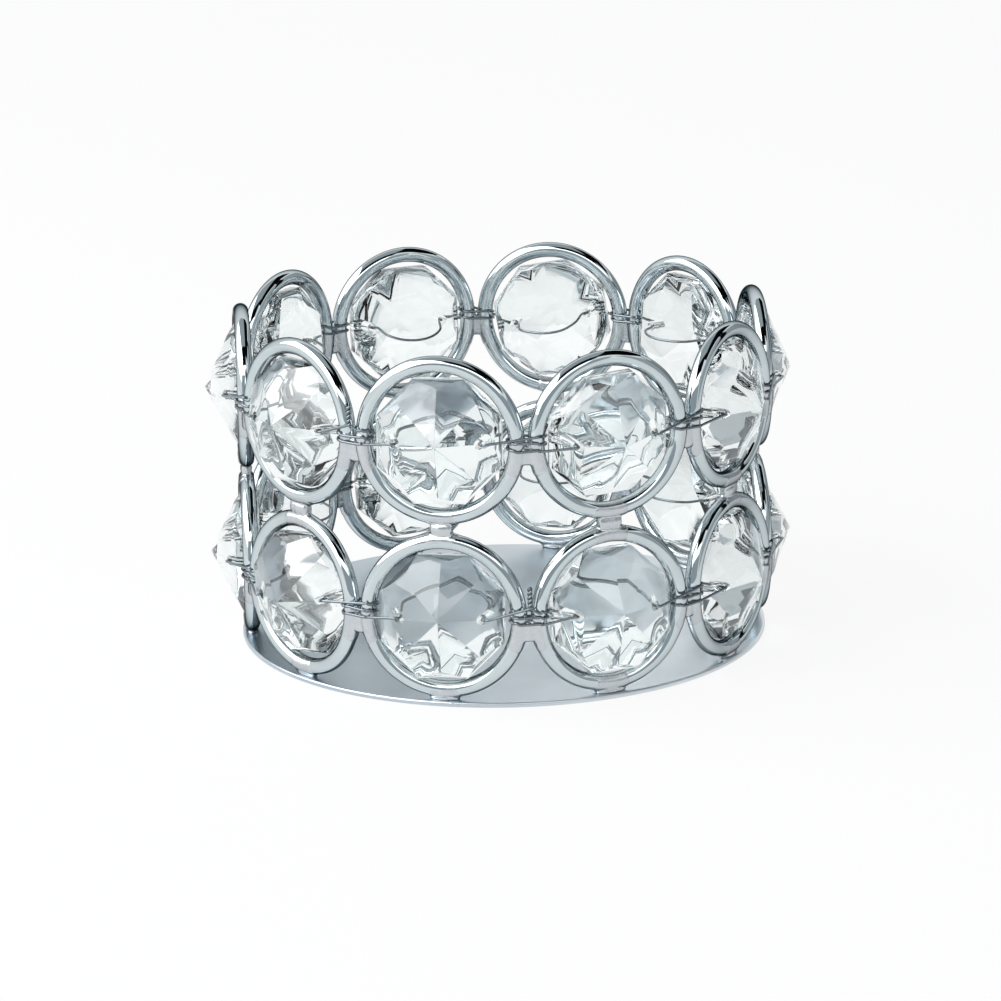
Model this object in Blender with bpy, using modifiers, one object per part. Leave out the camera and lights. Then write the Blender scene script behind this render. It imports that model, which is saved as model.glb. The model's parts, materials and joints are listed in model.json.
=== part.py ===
"""Crystal tealight bowl, at rest, in metres with +Z up and its origin under the base plate's centre.

Two rows of chromed wire rings stand on a thin steel plate, brazed to it and to each other. Each
ring frames an octagonal cut-glass bead, pointed outside and flat inside. One thin tie wire per row
is threaded through the beads' holes and wound once round every joint between two rings.
"""

import math

import bmesh
import bpy
import numpy as np
from mathutils import Matrix, Vector

# Rings of round wire, in rows round the bowl.
RINGS_PER_ROW = 10
RING_OUTER_DIAMETER = 0.025
RING_WIRE_DIAMETER = 0.0024
RING_SIDE_GAP = 0.0003
ROW_GAP = 0.0012
FIRST_RING_ANGLE = math.radians(-108)

# Base plate, and the gap between it and what stands on it.
PLATE_THICKNESS = 0.0008
PLATE_OVERHANG = 0.0002
PLATE_EDGE_ROUND = 0.0002
SEAT_GAP = 0.0003

# Braze webs at the side joints, and braze spots between the rows.
BRAZE_SET_BACK = 0.0003
BRAZE_HEIGHT = 0.0025
BRAZE_BELOW_MIDDLE = 0.0009
ROW_BRAZE_WIDTH = 0.0036
ROW_BRAZE_ROOT = 0.0009

# Cut-glass beads. The point's height is above the middle of the edge, and the back's is behind the edge.
BEAD_SIDES = 8
BEAD_POINT_HEIGHT = 0.006
BEAD_EDGE_THICKNESS = 0.0018
BEAD_BACK_HEIGHT = 0.0005
BEAD_BACK_BEVEL_WIDTH = 0.0007
BEAD_SIDE_FACET_WIDTH = 0.0011
BEAD_CORNER_GAP = 0.0003
BEAD_SIDE_GAP = 0.0002
BEAD_HOLE_DIAMETER = 0.0015
BEAD_HOLE_FROM_SIDE = 0.003

# Tie wires.
TIE_WIRE_DIAMETER = 0.0004
TIE_WIRE_GAP = 0.0003
TIE_WIRE_BOW = 0.0044
TIE_TURN_RISE = 0.0018
TIE_TURN_DROP = 0.0019
TIE_TAIL_FOOT = 0.0012
TIE_TAIL_LENGTH = 0.002
TIE_TAIL_GAP = 0.0005

# How finely round shapes are cut into flat faces.
RING_SEGMENTS = 24
RING_WIRE_SEGMENTS = 8
PLATE_SEGMENTS = 64
HOLE_SEGMENTS = 8
TIE_WIRE_BEVEL = 1
TURN_STEP = math.radians(45)
BOW_STEPS = 6
SMOOTH_BELOW = math.radians(50)

# Rings and rows. A ring's plane faces the bowl's axis, so neighbours meet at an angle of one pitch.
PITCH = 2 * math.pi / RINGS_PER_ROW
HALF_PITCH = PITCH / 2
RING_WIRE_RADIUS = RING_WIRE_DIAMETER / 2
RING_OUTER_RADIUS = RING_OUTER_DIAMETER / 2
RING_RADIUS = RING_OUTER_RADIUS - RING_WIRE_RADIUS
RING_INNER_RADIUS = RING_RADIUS - RING_WIRE_RADIUS
TUBE_TO_JOINT = RING_WIRE_RADIUS + RING_SIDE_GAP / 2
ROW_RADIUS = (TUBE_TO_JOINT + RING_RADIUS * math.cos(HALF_PITCH)) / math.sin(HALF_PITCH)
JOINT_RADIUS = ROW_RADIUS * math.cos(HALF_PITCH) + RING_RADIUS * math.sin(HALF_PITCH)
PLATE_RADIUS = ROW_RADIUS + RING_WIRE_RADIUS + PLATE_OVERHANG
LOWER_ROW_HEIGHT = PLATE_THICKNESS + SEAT_GAP + RING_OUTER_RADIUS
UPPER_ROW_HEIGHT = LOWER_ROW_HEIGHT + RING_OUTER_DIAMETER + ROW_GAP

# A bead fills its ring, but leaves room at its sides for the wire wound round the ring.
CORNER_ANGLE = math.pi / BEAD_SIDES
ROOM_FOR_CORNERS = RING_INNER_RADIUS - BEAD_CORNER_GAP
ROOM_FOR_SIDES = RING_INNER_RADIUS - TIE_WIRE_GAP - TIE_WIRE_DIAMETER - BEAD_SIDE_GAP
BEAD_CORNER_RADIUS = min(ROOM_FOR_CORNERS, ROOM_FOR_SIDES / math.cos(CORNER_ANGLE))
BEAD_SIDE_RADIUS = BEAD_CORNER_RADIUS * math.cos(CORNER_ANGLE)
BEAD_SLOPE = (BEAD_POINT_HEIGHT - BEAD_EDGE_THICKNESS / 2) / BEAD_CORNER_RADIUS
BEAD_BACK = BEAD_EDGE_THICKNESS / 2 + BEAD_BACK_HEIGHT
BEAD_HOLE_OFFSET = BEAD_SIDE_RADIUS - BEAD_HOLE_FROM_SIDE
TIE_WIRE_RADIUS = TIE_WIRE_DIAMETER / 2
TIE_WIRE_ABOVE = TIE_WIRE_GAP + TIE_WIRE_RADIUS


def clear_scene():
    for item in list(bpy.data.objects):
        bpy.data.objects.remove(item, do_unlink=True)


def new_collection(name):
    collection = bpy.data.collections.new(name)
    bpy.context.scene.collection.children.link(collection)
    return collection


def new_material(name, colour, roughness, metallic=0.0, transmission=0.0):
    material = bpy.data.materials.new(name)
    material.use_nodes = True
    shader = material.node_tree.nodes["Principled BSDF"]
    shader.inputs["Base Color"].default_value = (*colour, 1)
    shader.inputs["Roughness"].default_value = roughness
    shader.inputs["Metallic"].default_value = metallic
    shader.inputs["Transmission Weight"].default_value = transmission
    return material


def mesh_from(shape, name):
    """Mesh of a bmesh, which is freed."""
    mesh = bpy.data.meshes.new(name)
    shape.to_mesh(mesh)
    shape.free()
    return mesh


def boolean_mesh(body, tool, operation, name):
    """Mesh of one mesh joined with, or cut by, another. Both are used up."""
    pair = [bpy.data.objects.new(part.name, part) for part in (body, tool)]
    for item in pair:
        bpy.context.scene.collection.objects.link(item)
    modifier = pair[0].modifiers.new(operation.lower(), "BOOLEAN")
    modifier.operation = operation
    modifier.object = pair[1]
    bpy.context.view_layer.update()
    evaluated = pair[0].evaluated_get(bpy.context.evaluated_depsgraph_get())
    result = bpy.data.meshes.new_from_object(evaluated)
    result.name = name
    for item in pair:
        bpy.data.objects.remove(item, do_unlink=True)
    for part in (body, tool):
        bpy.data.meshes.remove(part)
    return result


def shade_round(mesh):
    mesh.shade_smooth()
    mesh.set_sharp_from_angle(angle=SMOOTH_BELOW)


def curved_away(height):
    """How far a ring's wire has curved in from its outermost place, at a height from the middle."""
    return RING_RADIUS - math.sqrt(RING_RADIUS**2 - height**2)


def wire_ring_mesh():
    """Closed ring of round wire, its plane square to X."""
    bpy.ops.mesh.primitive_torus_add(
        major_segments=RING_SEGMENTS,
        minor_segments=RING_WIRE_SEGMENTS,
        major_radius=RING_RADIUS,
        minor_radius=RING_WIRE_RADIUS,
    )
    torus = bpy.context.object
    mesh = torus.data
    bpy.data.objects.remove(torus, do_unlink=True)
    mesh.transform(Matrix.Rotation(math.pi / 2, 4, "Y"))
    return mesh


def braze_mesh(reach_below):
    """Braze on one ring: its half of the web at each side joint and, with a reach, the spot under it.

    X points away from the bowl's axis and Y along the row. A web ends just short of the joint's
    plane, and its root is inside the wire all the way down.
    """
    shape = bmesh.new()
    depth = RING_WIRE_DIAMETER - 2 * BRAZE_SET_BACK
    end = RING_SIDE_GAP / 2
    root = TUBE_TO_JOINT + curved_away(BRAZE_BELOW_MIDDLE + BRAZE_HEIGHT) * math.cos(HALF_PITCH)
    to_ring = Matrix.Translation((-ROW_RADIUS, 0, 0))
    for side in (1, -1):
        turned = Matrix.Rotation(side * HALF_PITCH, 4, "Z")
        middle = Vector((JOINT_RADIUS, -side * (root + end) / 2, -BRAZE_BELOW_MIDDLE - BRAZE_HEIGHT / 2))
        size = Matrix.Diagonal((depth, root - end, BRAZE_HEIGHT, 1))
        bmesh.ops.create_cube(shape, size=1, matrix=to_ring @ turned @ Matrix.Translation(middle) @ size)
    if reach_below > 0:
        middle = Vector((0, 0, -RING_OUTER_RADIUS + (ROW_BRAZE_ROOT - reach_below) / 2))
        size = Matrix.Diagonal((depth, ROW_BRAZE_WIDTH, ROW_BRAZE_ROOT + reach_below, 1))
        bmesh.ops.create_cube(shape, size=1, matrix=Matrix.Translation(middle) @ size)
    return mesh_from(shape, "braze")


def ring_mesh(name, reach_below):
    mesh = boolean_mesh(wire_ring_mesh(), braze_mesh(reach_below), "UNION", name)
    shade_round(mesh)
    return mesh


def bead_height(distance):
    """Height of a bead's front at a distance from its axis, towards the middle of a side."""
    return BEAD_POINT_HEIGHT - BEAD_SLOPE * distance * math.cos(CORNER_ANGLE)


def bead_blank_mesh():
    """Cut-glass bead: eight kite facets to a point, a narrow facet along each side, a flat bevelled back.

    A kite is flat because its side corners lie on the plane through the point and its far corner.
    """
    shape = bmesh.new()
    shape.verts.new((BEAD_POINT_HEIGHT, 0, 0))
    inner = BEAD_SIDE_RADIUS - BEAD_SIDE_FACET_WIDTH
    flat = (BEAD_SIDE_RADIUS - BEAD_BACK_BEVEL_WIDTH) / math.cos(CORNER_ANGLE)
    for step in range(BEAD_SIDES):
        middle = 2 * CORNER_ANGLE * step
        for height, radius, angle in (
            (bead_height(inner), inner, middle),
            (BEAD_EDGE_THICKNESS / 2, BEAD_CORNER_RADIUS, middle + CORNER_ANGLE),
            (-BEAD_EDGE_THICKNESS / 2, BEAD_CORNER_RADIUS, middle + CORNER_ANGLE),
            (-BEAD_BACK, flat, middle + CORNER_ANGLE),
        ):
            shape.verts.new((height, radius * math.cos(angle), radius * math.sin(angle)))
    bmesh.ops.convex_hull(shape, input=shape.verts)
    bmesh.ops.dissolve_limit(shape, angle_limit=math.radians(1), verts=shape.verts, edges=shape.edges)
    bmesh.ops.recalc_face_normals(shape, faces=shape.faces)
    return mesh_from(shape, "bead_blank")


def bead_holes_mesh():
    """Two drills through a bead, parallel to its axis, one near each side joint of its ring."""
    shape = bmesh.new()
    for side in (1, -1):
        placed = Matrix.Translation((0, side * BEAD_HOLE_OFFSET, 0))
        bmesh.ops.create_cone(
            shape,
            cap_ends=True,
            segments=HOLE_SEGMENTS,
            radius1=BEAD_HOLE_DIAMETER / 2,
            radius2=BEAD_HOLE_DIAMETER / 2,
            depth=3 * BEAD_POINT_HEIGHT,
            matrix=placed @ Matrix.Rotation(math.pi / 2, 4, "Y"),
        )
    return mesh_from(shape, "bead_holes")


def around(angle, outward, along, height):
    """Point in a frame that faces outwards from the bowl's axis at an angle."""
    return Vector((
        outward * math.cos(angle) - along * math.sin(angle),
        outward * math.sin(angle) + along * math.cos(angle),
        height,
    ))


def over_tube(angle, side, turn, height):
    """Corner of the tie wire's route round one of the two ring tubes at a joint.

    side is -1 for the tube before the joint and 1 for the one after it, and turn is the direction
    from that tube's centre, with a quarter turn straight outwards. The corners stand out so that
    the straight runs between them keep the wire's gap to the tube.
    """
    drift = curved_away(height)
    reach = (RING_WIRE_RADIUS + TIE_WIRE_ABOVE) / math.cos(TURN_STEP / 2)
    outward = reach * math.sin(turn) - drift * math.sin(HALF_PITCH)
    along = side * (TUBE_TO_JOINT + drift * math.cos(HALF_PITCH)) + reach * math.cos(turn)
    return around(angle, JOINT_RADIUS + outward, along, height)


def joint_turn(angle):
    """Corners of the wire at a joint: over its front, once round both tubes, and over it again."""
    half_turn = [TURN_STEP * (1.5 - step) for step in range(4)]
    after = [(1, turn) for turn in half_turn]
    before = [(-1, turn - math.pi) for turn in half_turn]
    stops = [before[-1], *after, *before, after[0]]
    drop = TIE_TURN_DROP / (len(stops) - 1)
    return [
        over_tube(angle, side, turn, TIE_TURN_RISE - drop * step)
        for step, (side, turn) in enumerate(stops)
    ]


def through_bead(angle):
    """Corners of the wire at a bead: in at one hole, slack behind the flat back, out at the other."""
    hole = BEAD_HOLE_OFFSET
    rim = hole - BEAD_HOLE_DIAMETER / 2
    behind = BEAD_BACK + TIE_WIRE_GAP + TIE_WIRE_DIAMETER
    half = [
        (bead_height(hole) + TIE_WIRE_ABOVE, hole + TIE_WIRE_ABOVE),
        (bead_height(hole), hole),
        (-BEAD_BACK - TIE_WIRE_RADIUS, hole),
    ]
    there = [(outward, -along) for outward, along in half]
    turns = [math.pi * step / BOW_STEPS for step in range(BOW_STEPS + 1)]
    bow = [(-behind - TIE_WIRE_BOW * math.sin(turn), -rim * math.cos(turn)) for turn in turns]
    stops = [*there, *bow, *reversed(half)]
    return [around(angle, ROW_RADIUS + outward, along, 0) for outward, along in stops]


def tie_wire_route(first_joint):
    """Whole route of a row's wire, from one tail to the other, which stand up side by side."""
    start = FIRST_RING_ANGLE - HALF_PITCH + first_joint * PITCH
    outward = JOINT_RADIUS + RING_WIRE_RADIUS + TIE_WIRE_ABOVE
    beside = (TIE_WIRE_DIAMETER + TIE_TAIL_GAP) / 2
    foot = TIE_TURN_RISE + TIE_TAIL_FOOT
    tail = (foot + TIE_TAIL_LENGTH, foot)
    route = [around(start, outward, beside, height) for height in tail]
    route += joint_turn(start)[1:]
    for step in range(RINGS_PER_ROW):
        ring_angle = start + HALF_PITCH + step * PITCH
        route += through_bead(ring_angle)
        if step < RINGS_PER_ROW - 1:
            route += joint_turn(ring_angle + HALF_PITCH)
    route.append(joint_turn(start)[0])
    route += [around(start, outward, -beside, height) for height in reversed(tail)]
    return route


def least_gap(route, diameter):
    """Smallest clear gap between stretches of a wire that aren't next to each other along it."""
    spacing = diameter / 2
    beyond = 8
    samples = []
    for start, end in zip(route, route[1:]):
        count = math.ceil((end - start).length / spacing)
        samples += [start.lerp(end, step / count) for step in range(count)]
    places = np.array(samples)
    nearest = min(
        np.linalg.norm(places[index + beyond:] - places[index], axis=1).min()
        for index in range(len(places) - beyond)
    )
    return nearest - diameter


def add_tie_wire(name, first_joint, material, parent, collection):
    route = tie_wire_route(first_joint)
    curve = bpy.data.curves.new(name, "CURVE")
    curve.dimensions = "3D"
    curve.bevel_depth = TIE_WIRE_RADIUS
    curve.bevel_resolution = TIE_WIRE_BEVEL
    curve.use_fill_caps = True
    spline = curve.splines.new("POLY")
    spline.points.add(len(route) - 1)
    for point, place in zip(spline.points, route):
        point.co = (*place, 1)
    curve.materials.append(material)
    wire = bpy.data.objects.new(name, curve)
    wire.parent = parent
    collection.objects.link(wire)
    print(f"{name}: least gap to itself {least_gap(route, TIE_WIRE_DIAMETER) * 1000:.2f} mm")


def add_base_plate(material, collection):
    """Round plate, flat above and below, with its edge rounded over."""
    shape = bmesh.new()
    bmesh.ops.create_cone(
        shape,
        cap_ends=True,
        segments=PLATE_SEGMENTS,
        radius1=PLATE_RADIUS,
        radius2=PLATE_RADIUS,
        depth=PLATE_THICKNESS,
        matrix=Matrix.Translation((0, 0, PLATE_THICKNESS / 2)),
    )
    mesh = mesh_from(shape, "base_plate")
    mesh.materials.append(material)
    shade_round(mesh)
    plate = bpy.data.objects.new("base_plate", mesh)
    edge = plate.modifiers.new("rounded_edge", "BEVEL")
    edge.width = min(PLATE_EDGE_ROUND, PLATE_THICKNESS / 3)
    edge.segments = 2
    edge.limit_method = "ANGLE"
    edge.angle_limit = SMOOTH_BELOW
    collection.objects.link(plate)


def add_row(row, height, reach_below, first_joint, materials, collection):
    """One row: its rings, a bead in each with its origin on its own axis of rocking, and the wire.

    A bead rocks on the wire about the line through the middle of both its holes.
    """
    empty = bpy.data.objects.new(f"{row}_row", None)
    empty.location.z = height
    collection.objects.link(empty)
    ring = ring_mesh(f"{row}_ring", reach_below)
    ring.materials.append(materials["chrome"])
    bead = boolean_mesh(bead_blank_mesh(), bead_holes_mesh(), "DIFFERENCE", f"{row}_crystal")
    rocks_at = (bead_height(BEAD_HOLE_OFFSET) - BEAD_BACK) / 2
    bead.transform(Matrix.Translation((-rocks_at, 0, 0)))
    bead.materials.append(materials["glass"])
    for number in range(RINGS_PER_ROW):
        angle = FIRST_RING_ANGLE + number * PITCH
        for kind, mesh, outward in (("ring", ring, 0), ("crystal", bead, rocks_at)):
            piece = bpy.data.objects.new(f"{row}_{kind}_{number + 1:02d}", mesh)
            piece.location = around(angle, ROW_RADIUS + outward, 0, 0)
            piece.rotation_euler.z = angle
            piece.parent = empty
            collection.objects.link(piece)
    add_tie_wire(f"{row}_tie_wire", first_joint, materials["wire"], empty, collection)


def main():
    clear_scene()
    collection = new_collection("crystal_tealight_bowl")
    materials = {
        "chrome": new_material("chromed_steel_wire", (0.78, 0.81, 0.84), 0.08, metallic=1.0),
        "plate": new_material("polished_steel_plate", (0.62, 0.67, 0.71), 0.12, metallic=1.0),
        "glass": new_material("cut_crystal_glass", (0.95, 0.98, 1.0), 0.0, transmission=1.0),
        "wire": new_material("drawn_tie_wire", (0.45, 0.48, 0.50), 0.25, metallic=1.0),
    }
    add_base_plate(materials["plate"], collection)
    add_row("lower", LOWER_ROW_HEIGHT, 0, 1, materials, collection)
    add_row("upper", UPPER_ROW_HEIGHT, ROW_GAP - SEAT_GAP, 0, materials, collection)


main()
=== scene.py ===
import json
import math
import random

import bmesh
import bpy
from mathutils import Matrix, Vector


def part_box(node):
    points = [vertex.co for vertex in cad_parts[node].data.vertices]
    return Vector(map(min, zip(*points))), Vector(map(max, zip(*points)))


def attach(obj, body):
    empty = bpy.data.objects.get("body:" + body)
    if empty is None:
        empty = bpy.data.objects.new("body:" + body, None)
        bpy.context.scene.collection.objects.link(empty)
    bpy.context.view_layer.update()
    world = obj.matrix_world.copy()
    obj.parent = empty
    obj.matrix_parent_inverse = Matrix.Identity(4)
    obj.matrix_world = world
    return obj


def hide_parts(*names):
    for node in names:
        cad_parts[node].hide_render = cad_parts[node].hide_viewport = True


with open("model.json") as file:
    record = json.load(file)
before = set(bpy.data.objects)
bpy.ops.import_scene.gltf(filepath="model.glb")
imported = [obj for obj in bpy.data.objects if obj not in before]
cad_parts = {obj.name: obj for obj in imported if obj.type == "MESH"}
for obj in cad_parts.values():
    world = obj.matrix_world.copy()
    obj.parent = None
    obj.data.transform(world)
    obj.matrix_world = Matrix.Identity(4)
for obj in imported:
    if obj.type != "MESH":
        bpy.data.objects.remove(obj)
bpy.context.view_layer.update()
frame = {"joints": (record.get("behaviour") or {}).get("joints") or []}        # metres, +Z up, the same frame as the solids

# Base plate: a disc of thin stainless steel, stamped out, its edge rounded over and its faces
# polished on a wheel, which the lower rings are brazed onto.
MM = 0.001
PLATE_EDGE_ROUND = 0.3 * MM
PLATE_STEPS = 240
EDGE_STEPS = 5
PLATE_SHARP_ANGLE = 40
MERGED_WITHIN = 0.001 * MM
POLISH_LINE_SPACING = 0.35 * MM
POLISH_LINE_DEPTH = 0.0006 * MM
POLISH_LINE_WAVER = 1.5
SHEET_WAVE_LENGTH = 14 * MM
SHEET_WAVE_HEIGHT = 0.03 * MM
SHEET_WAVE_DETAIL = 1.0
SMEAR_WIDTH = 9 * MM
SMEAR_DETAIL = 4.0
# Painted highlight: the plate is painted lighter along X across this reach, by this share of its
# tint.
PAINTED_HIGHLIGHT_REACH = 26 * MM
PAINTED_HIGHLIGHT_SHARE = 0.65
STEEL = "#EAEFF2"
STEEL_SHADED = "#AEBAC4"
STEEL_HAZE = (0.24, 0.34)
WAVE_NODE_PERIOD = 2 * math.pi / 20


def linear(colour):
    """Linear RGBA of an sRGB hex colour."""
    values = [int(colour[place:place + 2], 16) / 255 for place in (1, 3, 5)]
    return [v / 12.92 if v <= 0.04045 else ((v + 0.055) / 1.055) ** 2.4 for v in values] + [1.0]


def add_node(tree, kind, inputs=(), **settings):
    """Adds a node with its settings. An input is a number, a colour or the output that feeds it."""
    node = tree.nodes.new(kind)
    for name, value in settings.items():
        setattr(node, name, value)
    for name, value in dict(inputs).items():
        if isinstance(value, bpy.types.NodeSocket):
            tree.links.new(value, node.inputs[name])
        else:
            node.inputs[name].default_value = value
    return node


def add_material(name, values):
    """A material, with the values that its shader has all over."""
    material = bpy.data.materials.new(name)
    material.use_nodes = True
    shader = material.node_tree.nodes["Principled BSDF"]
    for socket, value in values.items():
        shader.inputs[socket].default_value = value
    return material


def feed_shader(material, socket, output):
    """Links an output to one of the shader's sockets."""
    tree = material.node_tree
    tree.links.new(output, tree.nodes["Principled BSDF"].inputs[socket])


def add_noise(material, size, detail):
    """Noise that is fixed to the piece, with marks of about a size."""
    tree = material.node_tree
    place = add_node(tree, "ShaderNodeTexCoord").outputs["Object"]
    noise = add_node(tree, "ShaderNodeTexNoise", {
        "Vector": place, "Scale": 1 / size, "Detail": detail,
    })
    return noise.outputs["Fac"]


def add_tint(material, share, first, second):
    """Base colour that goes from the first to the second colour by a share."""
    tint = add_node(material.node_tree, "ShaderNodeMix", {
        "Factor": share, "A": linear(first), "B": linear(second),
    }, data_type="RGBA")
    feed_shader(material, "Base Color", tint.outputs["Result"])


def add_haze(material, share, roughness):
    """Roughness that goes from the low to the high end of its range by a share."""
    low, high = roughness
    haze = add_node(material.node_tree, "ShaderNodeMapRange", {
        "Value": share, "To Min": low, "To Max": high,
    })
    feed_shader(material, "Roughness", haze.outputs["Result"])


def add_relief(material, height, depth, under=None):
    """Fine relief, on top of the relief under it if there is any."""
    inputs = {"Height": height, "Distance": depth}
    if under:
        inputs["Normal"] = under
    normal = add_node(material.node_tree, "ShaderNodeBump", inputs).outputs["Normal"]
    feed_shader(material, "Normal", normal)
    return normal


def add_piece(name, data, body, replaced=()):
    """Shows a mesh or curve as a piece that rides on a body and stands for nodes it replaces."""
    piece = bpy.data.objects.new(name, data)
    bpy.context.scene.collection.objects.link(piece)
    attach(piece, body)
    if replaced:
        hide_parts(*replaced)
    return piece


def mesh_from(shape, name, material):
    """Mesh of a bmesh, which is freed."""
    mesh = bpy.data.meshes.new(name)
    shape.to_mesh(mesh)
    shape.free()
    mesh.materials.append(material)
    return mesh


# Polished stainless steel: a cool grey mirror, drawn out a little by the wheel's circular lines,
# clouded by smears, on sheet that isn't quite flat. Its colour also holds a painted highlight: it
# is painted lighter towards +X, standing for a bright reflection.
steel = add_material("stainless_steel_wheel_polished", {"Metallic": 1.0})
tree = steel.node_tree
place = add_node(tree, "ShaderNodeTexCoord").outputs["Object"]
smears = add_noise(steel, SMEAR_WIDTH, SMEAR_DETAIL)
across = add_node(tree, "ShaderNodeSeparateXYZ", {"Vector": place}).outputs["X"]
# Painted highlight: a ramp that paints the plate lighter towards +X, mixed with the random smears.
painted_highlight_ramp = add_node(tree, "ShaderNodeMapRange", {
    "Value": across, "From Min": -PAINTED_HIGHLIGHT_REACH, "From Max": PAINTED_HIGHLIGHT_REACH,
}).outputs["Result"]
smears_and_painted_highlight = add_node(tree, "ShaderNodeMix", {
    "Factor": PAINTED_HIGHLIGHT_SHARE, "A": smears, "B": painted_highlight_ramp,
}).outputs["Result"]
add_tint(steel, smears_and_painted_highlight, STEEL_SHADED, STEEL)
add_haze(steel, smears, STEEL_HAZE)
waves = add_noise(steel, SHEET_WAVE_LENGTH, SHEET_WAVE_DETAIL)
lines = add_node(tree, "ShaderNodeTexWave", {
    "Vector": place, "Scale": WAVE_NODE_PERIOD / POLISH_LINE_SPACING,
    "Distortion": POLISH_LINE_WAVER,
}, wave_type="RINGS", rings_direction="Z").outputs["Fac"]
sheet = add_relief(steel, waves, SHEET_WAVE_HEIGHT)
add_relief(steel, lines, POLISH_LINE_DEPTH, sheet)

plate_low, plate_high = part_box("base_plate")
plate_radius = plate_high.x
profile = [(0.0, plate_high.z)]
for corner, turn in ((plate_high.z - PLATE_EDGE_ROUND, 90), (plate_low.z + PLATE_EDGE_ROUND, 0)):
    for step in range(EDGE_STEPS + 1):
        lean = math.radians(turn - 90 * step / EDGE_STEPS)
        profile.append((
            plate_radius - PLATE_EDGE_ROUND + PLATE_EDGE_ROUND * math.cos(lean),
            corner + PLATE_EDGE_ROUND * math.sin(lean),
        ))
profile.append((0.0, plate_low.z))
shape = bmesh.new()
rim = [shape.verts.new((radius, 0, height)) for radius, height in profile]
edges = [shape.edges.new(pair) for pair in zip(rim, rim[1:])]
bmesh.ops.spin(
    shape, geom=rim + edges, cent=(0, 0, 0), axis=(0, 0, 1), angle=2 * math.pi,
    steps=PLATE_STEPS, use_merge=True,
)
bmesh.ops.remove_doubles(shape, verts=shape.verts, dist=MERGED_WITHIN)
bmesh.ops.recalc_face_normals(shape, faces=shape.faces)
plate_mesh = mesh_from(shape, "base_plate_polished", steel)
plate_mesh.shade_smooth()
plate_mesh.set_sharp_from_angle(angle=math.radians(PLATE_SHARP_ANGLE))
add_piece("base_plate_polished", plate_mesh, "frame", ["base_plate"])

# Rings: round steel wire, bent over a mandrel and butted shut, two rows of them standing on edge
# round the plate. The finished frame is chrome plated.
RING_WIRE = 2.4 * MM
RING_STEPS = 144
WIRE_STEPS = 32
OUT_OF_ROUND = 0.05 * MM
OVAL_SHARE, EGG_SHARE = 0.7, 0.3
OUT_OF_PLANE = 0.04 * MM
PEEL_SIZE = 1.6 * MM
PEEL_HEIGHT = 0.004 * MM
PEEL_DETAIL = 2.0
FINGER_MARK_WIDTH = 3 * MM
FINGER_MARK_DETAIL = 5.0
CHROME = "#D2DCDF"
CHROME_DULLED = "#C4CED2"
# Painted shade: a dark edge tint that paints dark outlines where the chrome is seen at a glance.
CHROME_PAINTED_EDGE_SHADE = "#2A3034"
CHROME_HAZE = (0.015, 0.07)

# Chrome plate over drawn wire: a bright, slightly blue mirror whose faint orange peel makes the
# long reflections waver. Its dark edge tint is painted shade: it darkens the chrome where seen at a
# glance.
chrome = add_material("chrome_plate_over_drawn_wire", {
    "Metallic": 1.0, "Specular Tint": linear(CHROME_PAINTED_EDGE_SHADE),
})
marks = add_noise(chrome, FINGER_MARK_WIDTH, FINGER_MARK_DETAIL)
add_tint(chrome, marks, CHROME_DULLED, CHROME)
add_haze(chrome, marks, CHROME_HAZE)
add_relief(chrome, add_noise(chrome, PEEL_SIZE, PEEL_DETAIL), PEEL_HEIGHT)

ring_low, ring_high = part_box("lower_ring_04")
ring_radius = (ring_high.z - ring_low.z - RING_WIRE) / 2
row_radius = ring_high.x - RING_WIRE / 2

# Every ring and bead stands square to its bead's joint: X outwards from the bowl, Y along the row.
stands = {}
for joint in frame["joints"]:
    row, _, number, _ = joint["name"].split("_")
    along = Vector(joint["axis"])
    up = Vector((0, 0, 1))
    outward = along.cross(up)
    stand = Matrix((outward, along, up)).transposed().to_4x4()
    stand.translation = outward * row_radius + up * joint["pos_m"][2]
    stands[row, number] = stand
rows = ("lower", "upper")
numbers = sorted({number for _, number in stands})
pitch = 2 * math.pi / len(numbers)


def ring_mesh(name, stand):
    """A ring of round wire in its place, as true as hand bending leaves it."""
    bpy.ops.mesh.primitive_torus_add(
        major_segments=RING_STEPS, minor_segments=WIRE_STEPS,
        major_radius=ring_radius, minor_radius=RING_WIRE / 2,
    )
    torus = bpy.context.object
    mesh = torus.data
    mesh.name = name
    bpy.data.objects.remove(torus, do_unlink=True)
    mesh.transform(Matrix.Rotation(math.pi / 2, 4, "Y"))
    oval, egg, warp = (chance.uniform(0, 2 * math.pi) for _ in range(3))
    for vertex in mesh.vertices:
        angle = math.atan2(vertex.co.z, vertex.co.y)
        uneven = OVAL_SHARE * math.cos(2 * angle - oval) + EGG_SHARE * math.cos(3 * angle - egg)
        grow = OUT_OF_ROUND * (uneven - 1)
        lean = OUT_OF_PLANE * math.cos(2 * angle - warp)
        vertex.co += Vector((lean, grow * math.cos(angle), grow * math.sin(angle)))
    mesh.transform(stand)
    mesh.shade_smooth()
    mesh.materials.append(chrome)
    return mesh


chance = random.Random(3)
for (row, number), stand in stands.items():
    name = f"{row}_wire_ring_{number}"
    add_piece(name, ring_mesh(name, stand), "frame", [f"{row}_ring_{number}"])

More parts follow.
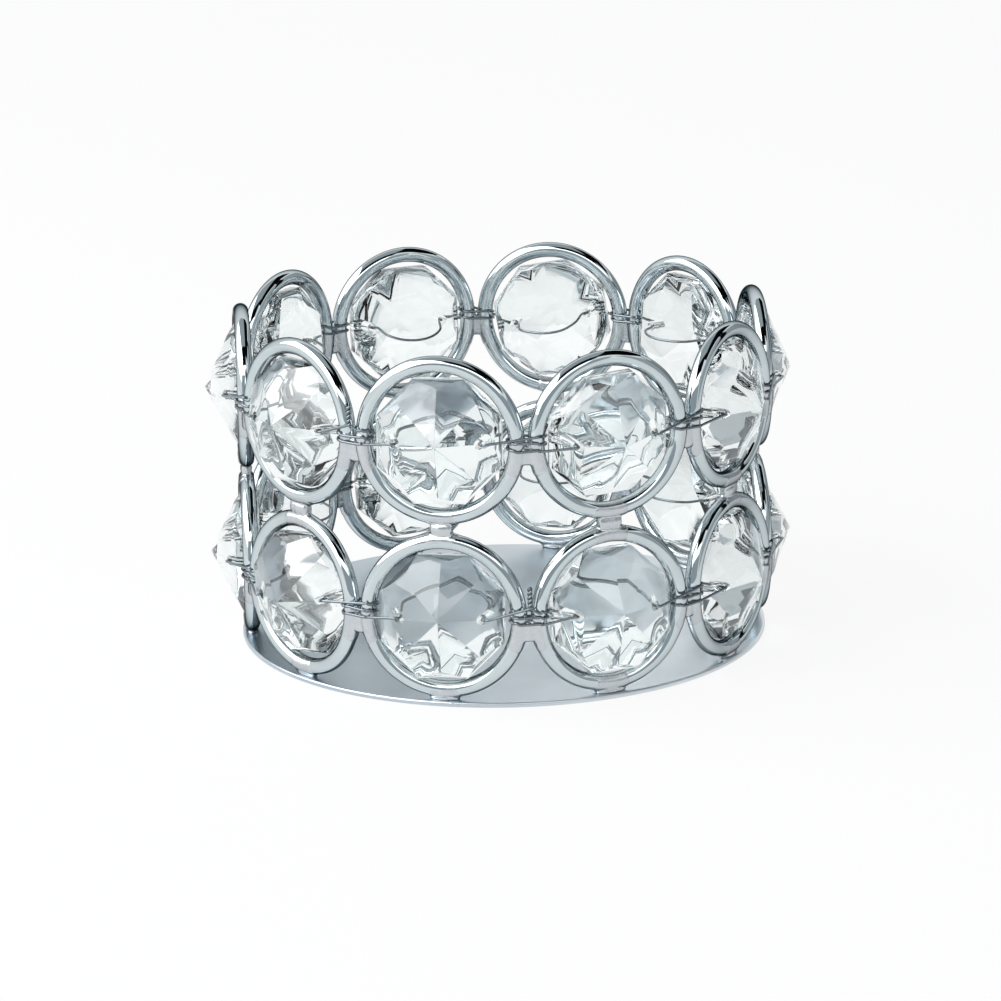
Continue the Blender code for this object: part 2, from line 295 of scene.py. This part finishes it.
# Braze: melted filler at each place where wires meet, drawn into the corner between them and
# plated over with the rest, so it is paler and lumpier than the wire. Each spot is modelled as
# drops that run together: their places and radii are in millimetres.
DROP_SUBDIVISIONS = 3
DROP_JITTER = (-0.03, 0.03)
BRAZE_VOXEL = 0.14
BRAZE_FLOW = 10
BRAZE_FILM = 0.06
BRAZE_SHAPES = 5
WEB_LOW = (-3.6, -2.6)
WEB_HIGH = (-0.8, -0.2)
WEB_FRONT = (-0.1, 0.2)
WEB_DEPTH = (0.8, 1.0)
WEB_DROP = (1.3, 0.5)
WEB_DROPS = 16
WEB_FILM_BELOW = 1.3
WEB_FILM_ABOVE = 0.7
WEB_FILM_DROPS = 26
ROW_SPOT_REACH = (1.8, 2.3)
ROW_SPOT_FRONT = (0.0, 0.3)
ROW_SPOT_DEPTH = (0.9, 1.1)
ROW_SPOT_FILLED = 0.65
ROW_SPOT_TAPER = 0.35
ROW_SPOT_DROP = (0.5, 1.2)
ROW_SPOT_DROPS = 12
ROW_FILM_DROPS = 16
FOOT_REACH = (1.7, 2.3)
FOOT_DEPTH = (0.95, 1.15)
FOOT_FILLED = 0.9
FOOT_TAPER = 0.4
FOOT_OFF_PLATE = 0.3
FOOT_DROP = (0.5, 0.5)
FOOT_DROPS = 18
FOOT_FILM_DROPS = 20
BRAZE_LUMP_SIZE = 0.7 * MM
BRAZE_LUMP_HEIGHT = 0.02 * MM
BRAZE_LUMP_DETAIL = 5.0
BRAZE = "#D3D7DA"
BRAZE_SHADED = "#BCC2C7"
BRAZE_HAZE = (0.14, 0.34)

# Chrome plate over braze: the same mirror with the same painted edge shade, clouded and broken up
# by the lumps under it.
braze = add_material("braze_filler_chrome_plated", {
    "Metallic": 1.0, "Specular Tint": linear(CHROME_PAINTED_EDGE_SHADE),
})
lumps = add_noise(braze, BRAZE_LUMP_SIZE, BRAZE_LUMP_DETAIL)
# Painted shade: the hollows between the lumps are painted the darker BRAZE_SHADED colour.
add_tint(braze, lumps, BRAZE_SHADED, BRAZE)
add_haze(braze, lumps, BRAZE_HAZE)
add_relief(braze, lumps, BRAZE_LUMP_HEIGHT)

# Sizes of the joints in millimetres, measured from where the bowl's axis and each joint lie.
wire_mm = RING_WIRE / MM / 2
ring_mm = ring_radius / MM
row_mm = row_radius / MM
half_pitch = pitch / 2
joint_mm = row_mm * math.cos(half_pitch) + ring_mm * math.sin(half_pitch)
tube_to_joint_mm = row_mm * math.sin(half_pitch) - ring_mm * math.cos(half_pitch)
heights_mm = {row: stands[row, numbers[0]].translation.z / MM for row in rows}
first = stands["lower", numbers[0]].col[0]
first_angle = math.atan2(first.y, first.x)


def bent_away(distance):
    """How far a ring's wire has bent away from its top, bottom or side at a distance along it."""
    return ring_mm - math.sqrt(ring_mm**2 - distance**2)


def tube_centre(side, height):
    """Outward and along: the centre of the wire before (-1) or after (1) a joint, at a height."""
    drift = bent_away(height)
    along = side * (tube_to_joint_mm + drift * math.cos(half_pitch))
    return joint_mm - drift * math.sin(half_pitch), along


def steps_between(low, high, count):
    """Evenly spaced values, with both ends."""
    return [low + (high - low) * step / (count - 1) for step in range(count)]


def mesh_of_changed(item):
    """Mesh of an object with its modifiers applied. The object is removed."""
    bpy.context.view_layer.update()
    changed = item.evaluated_get(bpy.context.evaluated_depsgraph_get())
    mesh = bpy.data.meshes.new_from_object(changed)
    bpy.data.objects.remove(item, do_unlink=True)
    return mesh


def flowed(drops, name):
    """Mesh of drops, each a centre and three radii, run together into one smooth skin."""
    shape = bmesh.new()
    for centre, radii in drops:
        matrix = Matrix.Translation(centre) @ Matrix.Diagonal((*radii, 1))
        bmesh.ops.create_icosphere(shape, subdivisions=DROP_SUBDIVISIONS, radius=1, matrix=matrix)
    item = bpy.data.objects.new(name, mesh_from(shape, name, braze))
    bpy.context.scene.collection.objects.link(item)
    fuse = item.modifiers.new("fuse", "REMESH")
    fuse.mode = "VOXEL"
    fuse.voxel_size = BRAZE_VOXEL
    flow = item.modifiers.new("flow", "SMOOTH")
    flow.iterations = BRAZE_FLOW
    return mesh_of_changed(item)


def side_drops():
    """Filler between two rings of a row: a web, and a film up and down both wires."""
    low, high = chance.uniform(*WEB_LOW), chance.uniform(*WEB_HIGH)
    front, depth = joint_mm + chance.uniform(*WEB_FRONT), chance.uniform(*WEB_DEPTH)
    drops = []
    for height in steps_between(low - WEB_FILM_BELOW, high + WEB_FILM_ABOVE, WEB_FILM_DROPS):
        for side in (1, -1):
            drops.append(((*tube_centre(side, height), height), [wire_mm + BRAZE_FILM] * 3))
    for height in steps_between(low, high, WEB_DROPS):
        drops.append(((front + chance.uniform(*DROP_JITTER), 0, height), (depth, *WEB_DROP)))
    return drops


def row_drops():
    """Filler between the rows, where the top of one ring meets the foot of the ring above it."""
    top, bottom = heights_mm["lower"] + ring_mm, heights_mm["upper"] - ring_mm
    reach = chance.uniform(*ROW_SPOT_REACH)
    front, depth = row_mm + chance.uniform(*ROW_SPOT_FRONT), chance.uniform(*ROW_SPOT_DEPTH)
    drops = []
    for along in steps_between(-reach, reach, ROW_FILM_DROPS):
        for height in (top - bent_away(along), bottom + bent_away(along)):
            drops.append(((row_mm, along, height), [wire_mm + BRAZE_FILM] * 3))
    filled = reach * ROW_SPOT_FILLED
    for along in steps_between(-filled, filled, ROW_SPOT_DROPS):
        thick = depth * (1 - ROW_SPOT_TAPER * (along / reach) ** 2)
        place = (front + chance.uniform(*DROP_JITTER), along, (top + bottom) / 2)
        drops.append((place, (thick, *ROW_SPOT_DROP)))
    return drops


def foot_drops():
    """Filler between a lower ring and the plate."""
    foot, plate_top = heights_mm["lower"] - ring_mm, plate_high.z / MM
    reach = chance.uniform(*FOOT_REACH)
    depth = chance.uniform(*FOOT_DEPTH)
    drops = []
    for along in steps_between(-reach, reach, FOOT_FILM_DROPS):
        drops.append(((row_mm, along, foot + bent_away(along)), [wire_mm + BRAZE_FILM] * 3))
    filled = reach * FOOT_FILLED
    for along in steps_between(-filled, filled, FOOT_DROPS):
        thick = depth * (1 - FOOT_TAPER * (along / reach) ** 2)
        place = (row_mm + chance.uniform(*DROP_JITTER), along, plate_top + FOOT_OFF_PLATE)
        drops.append((place, (thick, *FOOT_DROP)))
    return drops


def add_braze(name, make_drops, angle, height):
    """Adds one spot of filler at every ring, out of a few shapes that differ as hand work does."""
    shapes = [flowed(make_drops(), name) for _ in range(BRAZE_SHAPES)]
    whole = bmesh.new()
    for index in range(len(numbers)):
        copy = shapes[index % BRAZE_SHAPES].copy()
        turn = Matrix.Rotation(angle + index * pitch, 4, "Z")
        copy.transform(turn @ Matrix.Translation((0, 0, height)))
        whole.from_mesh(copy)
    mesh = mesh_from(whole, name, braze)
    mesh.transform(Matrix.Scale(MM, 4))
    mesh.shade_smooth()
    add_piece(name, mesh, "frame")


for row in rows:
    add_braze(f"{row}_side_braze", side_drops, first_angle + half_pitch, heights_mm[row])
add_braze("braze_between_rows", row_drops, first_angle, 0)
add_braze("braze_feet", foot_drops, first_angle, 0)

# Beads: lead-free crystal glass, pressed as octagons with a point outside and a flat back, then
# ground, polished and drilled twice for the wire that they hang on. Soft wire lets each hang askew:
# the play is in degrees that a bead faces up, faces along the row, and is turned on its axis.
BEAD_SIDES = 8
BEAD_EDGE = 1.8 * MM
BACK_BEVEL = 0.7 * MM
SIDE_FACET = 1.1 * MM
FACET_SHARP_ANGLE = 30
FLAT_WITHIN = 1
HOLE = 1.5 * MM
HOLE_FROM_SIDE = 3.0 * MM
HOLE_STEPS = 32
HOLE_WALL_LEAN = 0.1
DRILL_LENGTHS = 3
POLISHED_ARRIS = 0.045 * MM
GLASS = "#FCFFFF"
GLASS_DEEP = "#F6FCFC"
GLASS_IOR = 1.58
GLASS_HAZE = (0.0, 0.01)
FACET_WAVE_SIZE = 2.5 * MM
FACET_WAVE_HEIGHT = 0.0025 * MM
FACET_WAVE_DETAIL = 1.0
BEAD_DRAWN_IN = 0.13 * MM
BEAD_PLAY = (3, 4, 3)
SEEN_PLAY = {
    ("upper", "01"): (5, 6, 1), ("upper", "02"): (-7, 2, 2), ("upper", "05"): (-4, 0, 2),
    ("upper", "06"): (-4, 1, -10.5), ("upper", "07"): (-4, -1, 0), ("upper", "08"): (-4, 1, 1),
    ("upper", "10"): (6, 9, 0), ("lower", "01"): (8, 5, 1), ("lower", "02"): (8, -2, 0),
    ("lower", "06"): (-4, 2, 2), ("lower", "07"): (-4, 0, -2), ("lower", "10"): (-2, 8, 6),
}

# Polished crystal glass: clear and bright with a trace of green-blue, its facets a little uneven
# from the polishing wheel.
glass = add_material("crystal_glass_cut_and_polished", {
    "Transmission Weight": 1.0, "IOR": GLASS_IOR,
})
waves = add_noise(glass, FACET_WAVE_SIZE, FACET_WAVE_DETAIL)
add_tint(glass, waves, GLASS_DEEP, GLASS)
add_haze(glass, waves, GLASS_HAZE)
add_relief(glass, waves, FACET_WAVE_HEIGHT)

bead_low, bead_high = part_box("lower_crystal_04")
bead_point = bead_high.x - row_radius
bead_back = row_radius - bead_low.x
bead_side = (bead_high.y - bead_low.y) / 2
eighth = math.pi / BEAD_SIDES
bead_corner = bead_side / math.cos(eighth)
bead_slope = (bead_point - BEAD_EDGE / 2) / bead_corner
hole_offset = bead_side - HOLE_FROM_SIDE


def bead_height(distance):
    """Height of a bead's front at a distance from its axis, towards the middle of a side."""
    return bead_point - bead_slope * distance * math.cos(eighth)


def bead_mesh():
    """A bead with its axis along X: a point of eight kite facets, a flat back with a bevel."""
    shape = bmesh.new()
    shape.verts.new((bead_point, 0, 0))
    inner = bead_side - SIDE_FACET
    table = (bead_side - BACK_BEVEL) / math.cos(eighth)
    for step in range(BEAD_SIDES):
        middle = 2 * eighth * step
        for height, radius, angle in (
            (bead_height(inner), inner, middle),
            (BEAD_EDGE / 2, bead_corner, middle + eighth),
            (-BEAD_EDGE / 2, bead_corner, middle + eighth),
            (-bead_back, table, middle + eighth),
        ):
            shape.verts.new((height, radius * math.cos(angle), radius * math.sin(angle)))
    bmesh.ops.convex_hull(shape, input=shape.verts)
    bmesh.ops.dissolve_limit(
        shape, angle_limit=math.radians(FLAT_WITHIN), verts=shape.verts, edges=shape.edges,
    )
    bmesh.ops.recalc_face_normals(shape, faces=shape.faces)
    bmesh.ops.bevel(
        shape, geom=shape.edges[:], offset=POLISHED_ARRIS, segments=1, profile=0.5, affect="EDGES",
    )
    body = bpy.data.objects.new("bead", mesh_from(shape, "bead", glass))
    drills = bmesh.new()
    across = Matrix.Rotation(math.pi / 2, 4, "Y")
    for side in (1, -1):
        bmesh.ops.create_cone(
            drills, cap_ends=True, segments=HOLE_STEPS, radius1=HOLE / 2, radius2=HOLE / 2,
            depth=DRILL_LENGTHS * bead_point,
            matrix=Matrix.Translation((0, side * hole_offset, 0)) @ across,
        )
    drill = bpy.data.objects.new("drill", mesh_from(drills, "drill", glass))
    for item in (body, drill):
        bpy.context.scene.collection.objects.link(item)
    cut = body.modifiers.new("cut", "BOOLEAN")
    cut.operation = "DIFFERENCE"
    cut.object = drill
    mesh = mesh_of_changed(body)
    bpy.data.objects.remove(drill, do_unlink=True)
    for face in mesh.polygons:
        from_hole = math.hypot(abs(face.center.y) - hole_offset, face.center.z)
        face.use_smooth = from_hole < HOLE / 2 and abs(face.normal.x) < HOLE_WALL_LEAN
    mesh.set_sharp_from_angle(angle=math.radians(FACET_SHARP_ANGLE))
    return mesh


def hung(place):
    """How a bead hangs: askew about the middle of its holes, where its joint is, and drawn in."""
    play = [chance.uniform(-most, most) for most in BEAD_PLAY]
    faces_up, faces_along, turned = (math.radians(angle) for angle in SEEN_PLAY.get(place, play))
    tilt = (
        Matrix.Rotation(-faces_up, 4, "Y") @ Matrix.Rotation(faces_along, 4, "Z")
        @ Matrix.Rotation(turned, 4, "X")
    )
    middle = Matrix.Translation(((bead_height(hole_offset) - bead_back) / 2, 0, 0))
    return Matrix.Translation((-BEAD_DRAWN_IN, 0, 0)) @ middle @ tilt @ middle.inverted()


cut_bead = bead_mesh()
hangs = {place: hung(place) for place in stands}
for (row, number), stand in stands.items():
    name = f"{row}_cut_bead_{number}"
    mesh = cut_bead.copy()
    mesh.name = name
    mesh.transform(stand @ hangs[row, number])
    add_piece(name, mesh, f"{row}_bead_{number}", [f"{row}_crystal_{number}"])

# Tie wires: one thin steel wire for each row, threaded through both holes of each bead and wound
# round the two rings at each joint. Its ends are twisted together and stand up at one joint.
TIE_MM = 0.4
TIE_SPACING_MM = 0.2
TIE_BEVEL = 3
TIE_OFF_RING_MM = 0.04
TIE_OFF_GLASS_MM = 0.3
TIE_OFF_RIM_MM = 0.12
TIE_LEADS_MM = ((-0.4, 1.1), (-0.22, 0.35))
TIE_INTO_HOLE_MM = 0.4
TIE_BEFORE_BACK_MM = 0.3
TIE_BOW_MM = 4.2
TIE_BOW_VARIES_MM = (-0.4, 0.2)
TIE_BOW_STOPS = 6
TIE_DROOP_MM = (-0.3, 1.2)
SEEN_DROOP_MM = {
    ("upper", "01"): -0.2, ("lower", "01"): -0.6, ("upper", "02"): -0.2, ("lower", "02"): -0.2,
    ("upper", "06"): 1.3, ("upper", "07"): 1.5,
}
TURNS = 2
TURN_STOPS = 12
TURN_OVERLAP_STOPS = 3
TURN_TOP_MM = (1.1, 1.7)
TURN_DROP_MM = (1.7, 2.3)
TURN_WANDER_MM = 0.13
TAIL_FOOT_MM = 2.1
TAIL_TOP_MM = 5.2
TAIL_PITCH_MM = 1.3
TAIL_STOPS = 24
TAIL_OFF_RING_MM = 0.55
TAIL_SPREAD = 1.04
TAIL_JOINTS = {"upper": 0, "lower": 1}
TIE_STEEL = "#8E979C"
TIE_STEEL_DARK = "#6C757B"
TIE_STEEL_HAZE = (0.16, 0.32)
DRAWN_LINE = 0.25 * MM
DRAWN_LINE_DETAIL = 3.0

# Bright drawn steel wire: duller than the chrome, with streaks along it from the drawing die.
drawn = add_material("steel_wire_bright_drawn", {"Metallic": 1.0})
streaks = add_noise(drawn, DRAWN_LINE, DRAWN_LINE_DETAIL)
add_tint(drawn, streaks, TIE_STEEL_DARK, TIE_STEEL)
add_haze(drawn, streaks, TIE_STEEL_HAZE)


def round_bowl(angle, outward, along, height):
    """Point at an angle round the bowl, in millimetres."""
    return Vector((
        outward * math.cos(angle) - along * math.sin(angle),
        outward * math.sin(angle) + along * math.cos(angle),
        height,
    ))


def winding(angle):
    """Turns of the wire round both rings at a joint, from the front at the top down."""
    stops = []
    reach = wire_mm + TIE_MM / 2 + TIE_OFF_RING_MM
    half = [math.pi / 2 - math.pi * step / TURN_STOPS for step in range(TURN_STOPS + 1)]
    lap = [(1, turn) for turn in half] + [(-1, turn - math.pi) for turn in half]
    whole = lap * TURNS + lap[:TURN_OVERLAP_STOPS]
    top, drop = chance.uniform(*TURN_TOP_MM), chance.uniform(*TURN_DROP_MM)
    for step, (side, turn) in enumerate(whole):
        wander = chance.uniform(-TURN_WANDER_MM, TURN_WANDER_MM)
        height = top - drop * step / (len(whole) - 1) + wander
        outward, along = tube_centre(side, height)
        outward += reach * math.sin(turn)
        along += reach * math.cos(turn)
        stops.append(round_bowl(angle, outward, along, height))
    return stops


def threading(angle, place):
    """The wire at a bead: in at one hole, slack in a bow behind the flat back, out at the other."""
    hole = hole_offset / MM
    front = bead_height(hole_offset) / MM
    back = bead_back / MM
    clear = TIE_OFF_GLASS_MM + TIE_MM / 2
    half = [
        *((front + clear + off, hole + past) for off, past in TIE_LEADS_MM),
        (front - TIE_INTO_HOLE_MM, hole),
        (0.0, hole),
        (TIE_BEFORE_BACK_MM - back, hole),
    ]
    rim = hole - HOLE / MM / 2
    bow = TIE_BOW_MM + chance.uniform(*TIE_BOW_VARIES_MM)
    droop = SEEN_DROOP_MM.get(place, chance.uniform(*TIE_DROOP_MM))
    hang = hangs[place]
    going_in, coming_out = (
        [hang @ (Vector((outward, side * along, 0)) * MM) / MM for outward, along in half]
        for side in (-1, 1)
    )
    loop = []
    for turn in steps_between(0, math.pi, TIE_BOW_STOPS + 1):
        edge = math.copysign(rim, turn - math.pi / 2)
        end = hang @ (Vector((-back - clear - TIE_OFF_RIM_MM, edge, 0)) * MM) / MM
        near_rim = (1 + math.cos(2 * turn)) / 2
        loop.append(Vector((
            end.x * near_rim + (-back - clear) * (1 - near_rim) - bow * math.sin(turn),
            (end.y - edge) * near_rim - rim * math.cos(turn),
            end.z * near_rim - droop * math.sin(turn),
        )))
    stops = [*going_in, *loop, *reversed(coming_out)]
    return [round_bowl(angle, row_mm + stop.x, stop.y, stop.z) for stop in stops]


def tail(angle, phase):
    """One wire of the twisted pair that stands up at the joint, from its tip down."""
    stops = []
    outward = joint_mm + wire_mm + TAIL_OFF_RING_MM
    spread = TIE_MM / 2 * TAIL_SPREAD
    for height in steps_between(TAIL_TOP_MM, TAIL_FOOT_MM, TAIL_STOPS + 1):
        turn = phase + 2 * math.pi * height / TAIL_PITCH_MM
        across, along = spread * math.cos(turn), spread * math.sin(turn)
        stops.append(round_bowl(angle, outward + across, along, height))
    return stops


def smooth_route(stops, spacing):
    """Points at even spacing on a smooth curve through the stops."""
    padded = [2 * stops[0] - stops[1], *stops, 2 * stops[-1] - stops[-2]]
    places = []
    for before, start, end, after in zip(padded, padded[1:], padded[2:], padded[3:]):
        count = max(1, math.ceil((end - start).length / spacing))
        for step in range(count):
            t = step / count
            places.append(0.5 * (
                2 * start + (end - before) * t + (2 * before - 5 * start + 4 * end - after) * t**2
                + (3 * start - before - 3 * end + after) * t**3
            ))
    return [*places, stops[-1]]


for row in rows:
    start = first_angle - half_pitch + TAIL_JOINTS[row] * pitch
    route = tail(start, 0) + winding(start)
    for index in range(len(numbers)):
        bead_angle = start + half_pitch + index * pitch
        number = numbers[(TAIL_JOINTS[row] + index) % len(numbers)]
        route += threading(bead_angle, (row, number))
        if index < len(numbers) - 1:
            route += winding(bead_angle + half_pitch)
    route += tail(start, math.pi)[::-1]
    curve = bpy.data.curves.new(f"{row}_wound_wire", "CURVE")
    curve.dimensions = "3D"
    curve.bevel_depth = TIE_MM * MM / 2
    curve.bevel_resolution = TIE_BEVEL
    curve.use_fill_caps = True
    curve.materials.append(drawn)
    spline = curve.splines.new("POLY")
    places = smooth_route(route, TIE_SPACING_MM)
    spline.points.add(len(places) - 1)
    for point, place in zip(spline.points, places):
        point.co = (*(place * MM + Vector((0, 0, heights_mm[row] * MM))), 1)
    add_piece(f"{row}_wound_wire", curve, "frame", [f"{row}_tie_wire"])

# Studio: a white table and backdrop, a soft lamp high on the left and a fill lamp by the camera,
# and grey and black cards that only the metal and the glass see. The cards draw the dark lines on
# clear and shiny things. Some of them are paler through the glass, which keeps the beads bright.
FLOOR_SIZE = 8.0
FLOOR_CELLS = 4
FLOOR_BELOW = 0.02 * MM
FLOOR = "#F4F5F5"
FLOOR_ROUGHNESS = 0.9
FLOOR_SHEEN = 0.2
FLOOR_GLOW = {"Is Camera Ray": 0.9, "Is Glossy Ray": 0.6, "Is Transmission Ray": 0.6}
WHITE_SKY = "#FFFFFF"
DIFFUSE_SKY = 0.35
WHITE_CARD = "#FFFFFF"
GREY_CARD = "#A9B0B4"
MID_CARD = "#A3ABB0"
BACK_CARD = "#E4E9EB"
BLACK_CARD = "#08090A"
BLACK_THROUGH_GLASS = "#5C6368"
# Each card: its colour, its colour through the glass, azimuth and elevation, distance, width and
# height in metres. Azimuth 0 is behind the bowl and 90 to its right; elevation is above the table.
CARDS = {
    "right_wall": (GREY_CARD, GREY_CARD, 90, 16, 1.0, 1.7, 0.62),
    "camera_wall": (MID_CARD, WHITE_CARD, 180, 18, 1.1, 1.9, 0.7),
    "back_wall": (BACK_CARD, WHITE_CARD, 0, 9, 1.2, 2.4, 0.4),
    "ceiling": (GREY_CARD, GREY_CARD, 0, 90, 0.85, 1.0, 1.0),
    "high_right": (BLACK_CARD, BLACK_THROUGH_GLASS, 84, 57, 0.8, 0.95, 0.46),
    "right_strip": (BLACK_CARD, BLACK_THROUGH_GLASS, 80, 22, 0.9, 0.13, 0.6),
    "over_camera": (BLACK_CARD, BLACK_THROUGH_GLASS, 176, 57, 0.75, 0.6, 0.36),
}
# Each lamp: its radiance, then its placing as for a card.
LAMPS = {
    "soft_lamp": (3.6, -100, 40, 0.9, 1.3, 0.7),
    "fill_lamp": (2.0, -176, 37, 1.0, 1.1, 0.26),
}

# Matt white paper: it takes the bowl's soft shadow and is lit up evenly for the camera.
floor_material = add_material("white_paper_matt", {
    "Base Color": linear(FLOOR), "Roughness": FLOOR_ROUGHNESS, "Specular IOR Level": FLOOR_SHEEN,
})
tree = floor_material.node_tree
shader = tree.nodes["Principled BSDF"]
white = add_node(tree, "ShaderNodeEmission", {"Strength": 1.0})
seen = add_node(tree, "ShaderNodeLightPath").outputs
share = 0.0
for ray, glow in FLOOR_GLOW.items():
    part = add_node(tree, "ShaderNodeMath", {0: seen[ray], 1: glow}, operation="MULTIPLY")
    share = add_node(
        tree, "ShaderNodeMath", {0: share, 1: part.outputs[0]}, operation="MAXIMUM",
    ).outputs[0]
mixed = add_node(tree, "ShaderNodeMixShader", {
    0: share, 1: shader.outputs["BSDF"], 2: white.outputs["Emission"],
})
tree.links.new(mixed.outputs[0], tree.nodes["Material Output"].inputs["Surface"])
shape = bmesh.new()
bmesh.ops.create_grid(
    shape, x_segments=FLOOR_CELLS, y_segments=FLOOR_CELLS, size=FLOOR_SIZE / 2,
)
floor = bpy.data.objects.new("floor", mesh_from(shape, "floor", floor_material))
floor.location.z = plate_low.z - FLOOR_BELOW
bpy.context.scene.collection.objects.link(floor)


def face_bowl(item, azimuth, elevation, distance):
    """Places a card or lamp round the bowl, facing it."""
    turn, lift = math.radians(azimuth), math.radians(elevation)
    item.location = distance * Vector((
        math.sin(turn) * math.cos(lift), math.cos(turn) * math.cos(lift), math.sin(lift),
    ))
    item.rotation_euler = Vector(item.location).to_track_quat("Z", "Y").to_euler()


def add_card(name, colour, through_glass, azimuth, elevation, distance, width, height):
    """A card that glows evenly at its own colour. The clear beads see the other one."""
    material = bpy.data.materials.new(name)
    material.use_nodes = True
    tree = material.node_tree
    through = add_node(tree, "ShaderNodeLightPath").outputs["Is Transmission Ray"]
    shown = add_node(tree, "ShaderNodeMix", {
        "Factor": through, "A": linear(colour), "B": linear(through_glass),
    }, data_type="RGBA")
    even = add_node(tree, "ShaderNodeEmission", {"Color": shown.outputs["Result"]})
    tree.links.new(even.outputs[0], tree.nodes["Material Output"].inputs["Surface"])
    shape = bmesh.new()
    bmesh.ops.create_grid(
        shape, x_segments=1, y_segments=1, size=0.5, matrix=Matrix.Diagonal((width, height, 1, 1)),
    )
    card = bpy.data.objects.new(name, mesh_from(shape, name, material))
    bpy.context.scene.collection.objects.link(card)
    face_bowl(card, azimuth, elevation, distance)
    card.visible_camera = False
    card.visible_shadow = False


def add_lamp(name, radiance, azimuth, elevation, distance, width, height):
    """A soft lamp. The glass shows it only by reflection."""
    lamp = bpy.data.lights.new(name, "AREA")
    lamp.shape = "RECTANGLE"
    lamp.size = width
    lamp.size_y = height
    lamp.energy = radiance * math.pi * width * height
    item = bpy.data.objects.new(name, lamp)
    bpy.context.scene.collection.objects.link(item)
    face_bowl(item, azimuth, elevation, distance)
    item.visible_camera = False
    item.visible_transmission = False


for name, settings in CARDS.items():
    add_card(f"{name}_card", *settings)
for name, settings in LAMPS.items():
    add_lamp(name, *settings)

world = bpy.data.worlds.new("white_studio")
bpy.context.scene.world = world
world.use_nodes = True
tree = world.node_tree
diffuse = add_node(tree, "ShaderNodeLightPath").outputs["Is Diffuse Ray"]
sky = add_node(tree, "ShaderNodeMapRange", {
    "Value": diffuse, "To Min": 1.0, "To Max": DIFFUSE_SKY,
})
tree.nodes["Background"].inputs["Color"].default_value = linear(WHITE_SKY)
tree.links.new(sky.outputs["Result"], tree.nodes["Background"].inputs["Strength"])

# Camera: a long lens a little above the bowl, a touch out of level, as the photograph was taken.
CAMERA_DISTANCE = 0.5842
CAMERA_ELEVATION = 17.78
CAMERA_TURN = -5.13
CAMERA_AIM_UP = 1.873
CAMERA_AIM_RIGHT = -0.021
CAMERA_ROLL = -0.968
CAMERA_LENS = 134.8
CAMERA_CLIP_START = 0.01


def rotated(degrees, axis):
    """Rotation about an axis."""
    return Matrix.Rotation(math.radians(degrees), 4, axis)


camera = bpy.data.cameras.new("camera")
camera.lens = CAMERA_LENS
camera.clip_start = CAMERA_CLIP_START
camera_object = bpy.data.objects.new("camera", camera)
bpy.context.scene.collection.objects.link(camera_object)
orbit = rotated(CAMERA_TURN, "Z") @ rotated(90 - CAMERA_ELEVATION, "X")
aim = rotated(-CAMERA_AIM_RIGHT, "Y") @ rotated(CAMERA_AIM_UP, "X") @ rotated(CAMERA_ROLL, "Z")
camera_object.matrix_world = orbit @ Matrix.Translation((0, 0, CAMERA_DISTANCE)) @ aim
bpy.context.scene.camera = camera_object
bpy.context.scene.view_settings.view_transform = "Standard"
